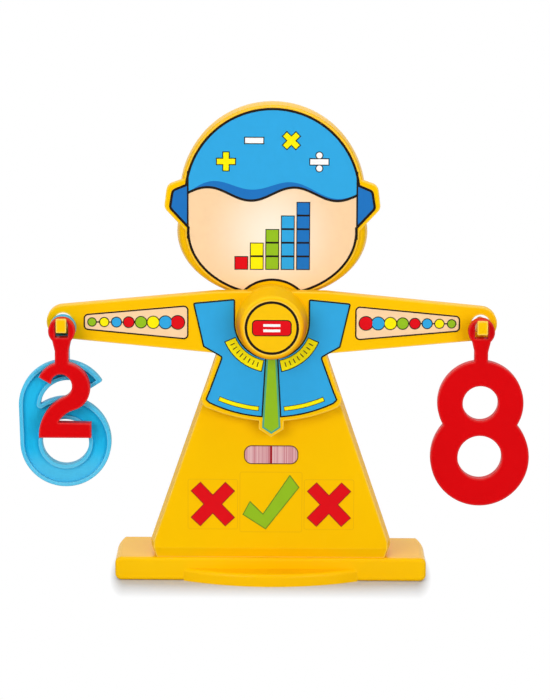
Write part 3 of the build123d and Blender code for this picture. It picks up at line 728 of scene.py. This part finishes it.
class BALANCE_OT_head_print(bpy.types.Operator):
    """Prints the round plate: a blue field over a pale one, signs and counting blocks"""

    bl_idname = "balance.head_print"
    bl_label = "Round plate print"

    def execute(self, context):
        sizes = context.scene.balance_prints
        node = "head_label"
        y = front_face(node)
        low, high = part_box(node)
        # the ink is palest at a point low on the plate, and full 62 mm from it
        palest = (0, y, low.z + 48 * MM), 62 * MM
        coat(node, finish("printed vinyl pale centre", shaded_vinyl, as_hex("peach"), "#fdeed8", *palest))
        radius = 71.5 * MM
        centre = np.array([0, high.z - radius])
        self.field(sizes, y, centre, radius)
        border("plate_outline", node, sizes.outline, "black", "stand", layer=4)
        self.lugs(sizes, y)
        self.signs(sizes, y, centre)
        self.blocks(sizes, y, low.z)
        return {"FINISHED"}

    def field(self, sizes, y, centre, radius):
        """Blue field from a wave, a sine of two turns across the plate, up to the plate's arc.

        A deeper band lies along the wave. A parabola takes its depth to nothing
        at the rim, and a slow sine makes it deeper on the left."""
        wave_height = 5.5 * MM
        band_depth = 11 * MM
        line_reach = 70.6 * MM
        x = np.linspace(-1, 1, 161) * radius
        wave = np.stack([x, centre[1] + wave_height * np.sin(2 * np.pi * x / radius)], axis=1)
        top = np.stack([x, centre[1] + np.sqrt(np.maximum(radius**2 - x**2, 0))], axis=1)
        film("plate_blue_field", wave, top, y, 1, "sky", "stand", rows=12)
        depth = band_depth * (1 - (x / radius) ** 2) * (0.65 - 0.35 * np.sin(3 * x / radius))
        band = wave + np.stack([0 * x, depth], axis=1)
        film("plate_deep_band", wave, band, y, 2, "deep_blue", "stand", rows=3)
        inner = np.abs(x) < line_reach
        film("plate_wave_line", *stroke(wave[inner], sizes.outline), y, 3, "black", "stand")

    def lugs(self, sizes, y):
        """Deep blue field on each lug, from an upright line at its root to the label's edge."""
        root = 70 * MM
        rim = outlines("head_label")[0]
        after = np.roll(rim, -1, axis=0)
        run = after[:, :1] - rim[:, :1]
        fields = []
        lines = []
        for side in (-1, 1):
            # where the rim crosses the root's line
            share = (side * root - rim[:, :1]) / np.where(run == 0, np.inf, run)
            crossings = (rim + share * (after - rim))[(share[:, 0] > 0) & (share[:, 0] < 1)]
            out = np.vstack([rim[rim[:, 0] * side > root], crossings])
            out = out[np.argsort(out[:, 1])]
            foot = out * [0, 1] + [side * root, 0]
            fields.append(film(f"lug_field_{side}", foot, out, y, 2, "deep_blue", "stand"))
            line = stroke(foot[[0, -1]], sizes.outline * 0.7)
            lines.append(film(f"lug_line_{side}", *line, y, 3, "black", "stand"))
        join("lug_fields", fields)
        join("lug_lines", lines)

    def signs(self, sizes, y, centre):
        """Plus, minus, times and divide on an arc across the blue field."""
        bar = sizes.sign
        width = bar * 0.3
        dot_rise = bar * 0.36
        dot_radius = width * 0.55
        arc_radius = 47 * MM
        angles = (145, 109, 71, 35)
        plus, minus, times, divide = (arc(centre, arc_radius, angle, angle, 1)[0] for angle in angles)
        dots = [divide + np.array([0, up * dot_rise]) for up in (-1, 1)]
        for name, key, shapes in (
            ("plus", "lemon", [lambda g: plus_shape(plus, bar + 2 * g, width + 2 * g)]),
            ("minus", "white", [lambda g: box_shape(minus, bar + 2 * g, width + 2 * g)]),
            ("times", "lemon", [lambda g: plus_shape(times, bar + 2 * g, width + 2 * g, 45)]),
            (
                "divide",
                "white",
                [lambda g: box_shape(divide, bar + 2 * g, width + 2 * g)]
                + [lambda g, dot=dot: disc(dot, dot_radius + g) for dot in dots],
            ),
        ):
            outlined(f"sign_{name}", shapes, sizes.thin_line, y, 4, key, "stand")

    def blocks(self, sizes, y, low_z):
        """Five columns of one to five counting blocks."""
        line = sizes.thin_line
        step = sizes.block + line
        face = sizes.block - line
        pitch = sizes.block + 2.2 * MM
        ground = low_z + 19 * MM
        for column, key in enumerate(("scarlet", "lemon", "green", "sky", "deep_blue")):
            places = [((column - 2) * pitch, ground + (row + 0.5) * step) for row in range(column + 1)]
            shapes = [lambda g, at=place: box_shape(at, face + 2 * g, face + 2 * g) for place in places]
            outlined(f"blocks_{column + 1}", shapes, line, y, 2, key, "stand")


class BALANCE_OT_body_print(bpy.types.Operator):
    """Prints the beam's middle: blue field, dial under the hub and a yellow band along the hem"""

    bl_idname = "balance.body_print"
    bl_label = "Beam print"

    def execute(self, context):
        sizes = context.scene.balance_prints
        node = "body_label"
        coat(node, ink("sky"))
        y = front_face(node)
        border("body_outline", node, sizes.outline * 0.6, "black", "beam", layer=4)
        self.dial(sizes, y)
        self.hem(sizes, y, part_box(node)[0].z)
        return {"FINISHED"}

    def dial(self, sizes, y):
        """Yellow field on each side under the hub, on a black one, with eight marks."""
        back_radii = (32.6 * MM, 42.8 * MM)
        field_radii = (33.2 * MM, 42 * MM)
        mark_radii = (35.5 * MM, 39.5 * MM)
        past = 1.2  # degrees that the black field shows at each end
        inset = 6  # degrees from a field's end to its first mark
        pivot = (0, PIVOT_Z)
        fields = []
        marks = []
        for side, (start, end) in enumerate(((204, 258), (282, 336))):
            back = [arc(pivot, radius, start - past, end + past, 40) for radius in back_radii]
            film(f"dial_line_{side}", *back, y, 1, "black", "beam")
            fields.append([arc(pivot, radius, start, end, 40) for radius in field_radii])
            for angle in np.linspace(start + inset, end - inset, 8):
                mark = np.vstack([arc(pivot, radius, angle, angle, 1) for radius in mark_radii])
                marks.append(stroke(mark, sizes.thin_line))
        films = [film(f"dial_{i}", *field, y, 2, "lemon", "beam") for i, field in enumerate(fields)]
        join("dial", films)
        films = [film(f"dial_mark_{i}", *mark, y, 3, "black", "beam") for i, mark in enumerate(marks)]
        join("dial_marks", films)

    def hem(self, sizes, y, low_z):
        """Yellow band on each side along the hem, an arc that bulges down by sag over its half width."""
        half, sag = 51.9 * MM, 12 * MM
        radius = (half**2 + sag**2) / (2 * sag)
        centre = (0, low_z + radius)
        near_radius, far_radius = radius - 8.4 * MM, radius - 5.4 * MM
        inner, outer = (np.degrees(np.arcsin(x / radius)) for x in (11.5 * MM, 46 * MM))

        def band(g, start, end):
            turn = np.degrees(g / radius)
            return [
                arc(centre, band_radius, start - turn, end + turn, 40)
                for band_radius in (near_radius - g, far_radius + g)
            ]

        bands = [
            lambda g: band(g, 270 + inner, 270 + outer),
            lambda g: band(g, 270 - outer, 270 - inner),
        ]
        outlined("hem_band", bands, sizes.thin_line * 0.7, y, 1, "lemon", "beam")


class BALANCE_OT_arm_print(bpy.types.Operator):
    """Prints the arms: beads on a rod, shrinking towards the hooks"""

    bl_idname = "balance.arm_print"
    bl_label = "Arm print"

    def execute(self, context):
        sizes = context.scene.balance_prints
        keys = ("scarlet", "sky", "lemon", "green")
        rod_width = 1.1 * MM
        rod_margin = 4 * MM
        inner_margin, outer_margin = 9 * MM, 7 * MM
        shrink = 0.42
        for side, node in ((-1, "left_arm_label"), (1, "right_arm_label")):
            coat(node, ink("peach"))
            y = front_face(node)
            low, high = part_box(node)
            name = node.replace("_label", "")
            border(f"{name}_outline", node, sizes.outline * 0.6, "black", "beam", layer=2)
            middle = (low.z + high.z) / 2
            root, tip = sorted((abs(low.x), abs(high.x)))
            rod = [(side * (root + rod_margin), middle), (side * (tip - rod_margin), middle)]
            film(f"{name}_rod", *stroke(rod, rod_width), y, 1, "black", "beam")
            start, end = root + inner_margin, tip - outer_margin
            for index, share in enumerate(np.linspace(0, 1, 8)):
                place = (side * (start + share * (end - start)), middle)
                radius = sizes.bead * (1 - shrink * share)
                bead = [lambda g, place=place, radius=radius: disc(place, radius + g)]
                outlined(f"{name}_bead_{index}", bead, sizes.thin_line, y, 2, keys[index % 4], "beam")
        return {"FINISHED"}


class BALANCE_OT_hub_print(bpy.types.Operator):
    """Prints the hub's cap: black ring and an equals sign on a red panel"""

    bl_idname = "balance.hub_print"
    bl_label = "Hub print"

    def execute(self, context):
        sizes = context.scene.balance_prints
        node = "hub_label"
        coat(node, ink("amber"))
        y = front_face(node)
        low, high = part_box(node)
        # the ring ends just inside the label's rim
        outer = (high.x - low.x) / 2 - 0.1 * MM
        pivot = (0, PIVOT_Z)
        ring = [arc(pivot, radius, 0, 360) for radius in (outer - sizes.ring, outer)]
        film("hub_ring", *ring, y, 1, "black", "beam")
        width, height, corner = 31 * MM, 12 * MM, 3 * MM
        panel = [lambda g: round_box(pivot, width + 2 * g, height + 2 * g, corner + g)]
        outlined("hub_panel", panel, sizes.thin_line, y, 1, "scarlet", "beam")
        bar_length, bar_width, bar_rise = 14 * MM, 2.2 * MM, 2.2 * MM
        bars = [box_shape((0, PIVOT_Z + up * bar_rise), bar_length, bar_width) for up in (-1, 1)]
        films = [film(f"hub_bar_{i}", *bar, y, 3, "white", "beam") for i, bar in enumerate(bars)]
        join("hub_equals", films)
        return {"FINISHED"}


class BALANCE_OT_pointer_print(bpy.types.Operator):
    """Prints the pointer: green with a teal edge"""

    bl_idname = "balance.pointer_print"
    bl_label = "Pointer print"

    def execute(self, context):
        node = "pointer_label"
        edge_width = 1.5 * MM
        coat(node, ink("green"))
        border("pointer_edge", node, edge_width, "teal", "beam")
        return {"FINISHED"}


class BALANCE_OT_scale_print(bpy.types.Operator):
    """Prints the scale: fine upright lines, a red centre line and a thin edge"""

    bl_idname = "balance.scale_print"
    bl_label = "Scale print"

    def execute(self, context):
        node = "scale_label"
        coat(node, finish("coated paper fine lines", striped_paper, "#c4727c", "#e4bcbc"))
        y = front_face(node)
        low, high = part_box(node)
        line_width, edge_width = 1.8 * MM, 0.8 * MM
        centre = (0, (low.z + high.z) / 2)
        film("scale_centre", *box_shape(centre, line_width, high.z - low.z), y, 1, "dark_red", "stand")
        border("scale_edge", node, edge_width, "brown", "stand", layer=2)
        return {"FINISHED"}


class BALANCE_OT_mark_print(bpy.types.Operator):
    """Prints the two crosses and the tick with darker edges"""

    bl_idname = "balance.mark_print"
    bl_label = "Mark print"

    def execute(self, context):
        margin = context.scene.balance_prints.margin
        edge_width = 0.7 * MM
        corner, cut_width = 2 * MM, 0.5 * MM
        for node, key, edge in (
            ("left_cross_label", "scarlet", "dark_red"),
            ("right_cross_label", "scarlet", "dark_red"),
            ("tick_label", "green", "dark_green"),
        ):
            coat(node, ink(key))
            name = node.replace("_label", "")
            border(f"{name}_edge", node, edge_width, edge, "stand")
            # the mark sits on a clear film, of which only the cut edge shows, as a line of painted shade
            low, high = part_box(node)
            centre = ((low.x + high.x) / 2, (low.z + high.z) / 2)
            width, height = high.x - low.x + 2 * margin, high.z - low.z + 2 * margin
            cut = round_frame(centre, width, height, corner, cut_width)
            film(f"{name}_margin", *cut, high.y, 1, "film_edge", "stand")
        return {"FINISHED"}


class BALANCE_OT_studio(bpy.types.Operator):
    """Sets the floor, the soft lights and the camera"""

    bl_idname = "balance.studio"
    bl_label = "Studio"

    def execute(self, context):
        self.floor(context)
        self.world(context)
        self.lights(context)
        self.camera(context)
        context.scene.view_settings.view_transform = "Standard"
        return {"FINISHED"}

    def floor(self, context):
        """Pale floor that looks plain white away from the toy, and keeps its shadow."""
        reach = 14.0  # metres
        corners = [(-reach, -reach, 0), (reach, -reach, 0), (reach, reach, 0), (-reach, reach, 0)]
        mesh = bpy.data.meshes.new("floor")
        mesh.from_pydata(corners, [], [(0, 1, 2, 3)])
        piece = bpy.data.objects.new("floor", mesh)
        context.scene.collection.objects.link(piece)
        material, shader, place = blank("painted studio floor white")
        # a trace of blue against the yellow light that the toy throws down
        fill_node(
            material, shader, {"Base Color": linear("#c2c6cc"), "Roughness": 0.6, "Specular IOR Level": 0.2}
        )
        share = add_node(
            material,
            "ShaderNodeMath",
            {"operation": "MULTIPLY"},
            _0=self.white_rays(material),
            _1=self.away(material, place),
        )
        white = add_node(material, "ShaderNodeEmission", {"Color": (1, 1, 1, 1), "Strength": 1.0})
        mix = add_node(
            material,
            "ShaderNodeMixShader",
            Fac=share.outputs["Value"],
            _1=shader.outputs["BSDF"],
            _2=white.outputs["Emission"],
        )
        output = material.node_tree.nodes["Material Output"]
        fill_node(material, output, {}, Surface=mix.outputs["Shader"])
        mesh.materials.append(material)

    def away(self, material, place):
        """0 near the foot, where the floor keeps its shading, to 1 away from it.

        The distance is taken from a line through the foot's middle, 122 mm to
        each side, and grows six times as fast past the line's ends as in front of it."""
        half_line = 122 * MM
        steepness = 6.0
        nearest = place
        for operation, end in (("MAXIMUM", -half_line), ("MINIMUM", half_line)):
            settings = {"operation": operation, 1: (end, 0, 0)}
            nearest = add_node(material, "ShaderNodeVectorMath", settings, _0=nearest).outputs["Vector"]
        offset = add_node(material, "ShaderNodeVectorMath", {"operation": "SUBTRACT"}, _0=place, _1=nearest)
        squeezed = add_node(
            material,
            "ShaderNodeMapping",
            {"Scale": (steepness, 1.0, 1.0)},
            Vector=offset.outputs["Vector"],
        )
        distance = add_node(
            material,
            "ShaderNodeVectorMath",
            {"operation": "LENGTH"},
            _0=squeezed.outputs["Vector"],
        )
        share = add_node(
            material,
            "ShaderNodeMapRange",
            {"From Min": 45 * MM, "From Max": 92 * MM},
            Value=distance.outputs["Value"],
        )
        return share.outputs["Result"]

    def white_rays(self, material):
        """1 for rays that see a plain white studio: the camera's, and those mirrored or sent through."""
        rays = add_node(material, "ShaderNodeLightPath").outputs
        seen = rays["Is Camera Ray"]
        for kind in ("Is Glossy Ray", "Is Transmission Ray"):
            larger = add_node(material, "ShaderNodeMath", {"operation": "MAXIMUM"}, _0=seen, _1=rays[kind])
            seen = larger.outputs["Value"]
        return seen

    def world(self, context):
        """White surround: plain white to look at, while its light is strongest from overhead and behind."""
        world = bpy.data.worlds.new("white surround")
        world.use_nodes = True
        context.scene.world = world
        place = add_node(world, "ShaderNodeTexCoord").outputs["Generated"]
        ways = add_node(world, "ShaderNodeSeparateXYZ", Vector=place).outputs
        behind = add_node(
            world,
            "ShaderNodeMapRange",
            {"From Min": -1.0, "From Max": 0.6, "To Min": 0.1, "To Max": 0.5},
            Value=ways["Y"],
        )
        overhead = add_node(
            world,
            "ShaderNodeMapRange",
            {"From Min": 0.2, "To Min": 0.0, "To Max": 0.4},
            Value=ways["Z"],
        )
        light = add_node(
            world,
            "ShaderNodeMath",
            {"operation": "ADD"},
            _0=behind.outputs["Result"],
            _1=overhead.outputs["Result"],
        )
        strength = add_node(
            world,
            "ShaderNodeMix",
            {3: 1.0},
            _0=self.white_rays(world),
            _2=light.outputs["Value"],
        )
        background = world.node_tree.nodes["Background"]
        fill_node(world, background, {"Color": (1, 1, 1, 1)}, Strength=strength.outputs[0])

    def lights(self, context):
        """Square softboxes, each with its place, its side in metres and its power in watts."""
        for name, place, side, power in (
            ("key softbox", (-1.1, -2.0, 1.0), 1.2, 22.4),
            ("fill softbox", (1.2, -2.0, 0.6), 1.2, 17.0),
            ("top softbox", (-0.1, -0.35, 1.9), 0.5, 6.2),
            ("rear softbox", (0.2, 1.6, 1.3), 1.6, 3.5),
        ):
            light = bpy.data.lights.new(name, "AREA")
            light.shape = "SQUARE"
            light.size = side
            light.energy = power
            lamp = bpy.data.objects.new(name, light)
            middle = Vector((0, 0, 0.2))
            turn = (middle - Vector(place)).to_track_quat("-Z", "Y").to_matrix().to_4x4()
            lamp.matrix_world = Matrix.Translation(place) @ turn
            context.scene.collection.objects.link(lamp)

    def camera(self, context):
        """Long lens from the front and a little above."""
        studio = context.scene.balance_studio
        picture_height = 700  # pixels
        left = 3.3  # pixels from the picture's middle to the object's
        ahead = 50 * MM  # from the origin to the depth that the camera looks at
        camera = bpy.data.cameras.new("camera")
        camera.sensor_width = 36
        camera.lens = camera.sensor_width * studio.distance / (studio.pixel * picture_height)
        camera.clip_end = 50
        camera.shift_x = left / picture_height
        aim = Vector((0, -ahead, studio.aim_height))
        back = Vector((0, -np.cos(studio.tilt), np.sin(studio.tilt)))
        turn = (-back).to_track_quat("-Z", "Y").to_matrix().to_4x4() @ Matrix.Rotation(studio.roll, 4, "Z")
        piece = bpy.data.objects.new("camera", camera)
        piece.matrix_world = Matrix.Translation(aim + back * studio.distance) @ turn
        context.scene.collection.objects.link(piece)
        context.scene.camera = piece


class BALANCE_PT_panel(bpy.types.Panel):
    """Lists the steps that dress the balance"""

    bl_idname = "BALANCE_PT_panel"
    bl_label = "Toy balance"
    bl_space_type = "VIEW_3D"
    bl_region_type = "UI"
    bl_category = "Balance"

    def draw(self, context):
        for operator in OPERATORS:
            self.layout.operator(operator.bl_idname)


OPERATORS = (
    BALANCE_OT_plastics,
    BALANCE_OT_hardware,
    BALANCE_OT_head_print,
    BALANCE_OT_body_print,
    BALANCE_OT_arm_print,
    BALANCE_OT_hub_print,
    BALANCE_OT_pointer_print,
    BALANCE_OT_scale_print,
    BALANCE_OT_mark_print,
    BALANCE_OT_studio,
)
SETTINGS = {
    "balance_colours": BalanceColours,
    "balance_prints": PrintSizes,
    "balance_studio": StudioSettings,
}


def register():
    for group in (*SETTINGS.values(), *OPERATORS, BALANCE_PT_panel):
        bpy.utils.register_class(group)
    for name, group in SETTINGS.items():
        setattr(bpy.types.Scene, name, bpy.props.PointerProperty(type=group))


def unregister():
    for name in SETTINGS:
        delattr(bpy.types.Scene, name)
    for group in reversed((*SETTINGS.values(), *OPERATORS, BALANCE_PT_panel)):
        bpy.utils.unregister_class(group)


def main():
    register()
    bpy.ops.balance.plastics()
    bpy.ops.balance.hardware()
    bpy.ops.balance.head_print()
    bpy.ops.balance.body_print()
    bpy.ops.balance.arm_print()
    bpy.ops.balance.hub_print()
    bpy.ops.balance.pointer_print()
    bpy.ops.balance.scale_print()
    bpy.ops.balance.mark_print()
    bpy.ops.balance.studio()


if __name__ == "__main__":
    main()
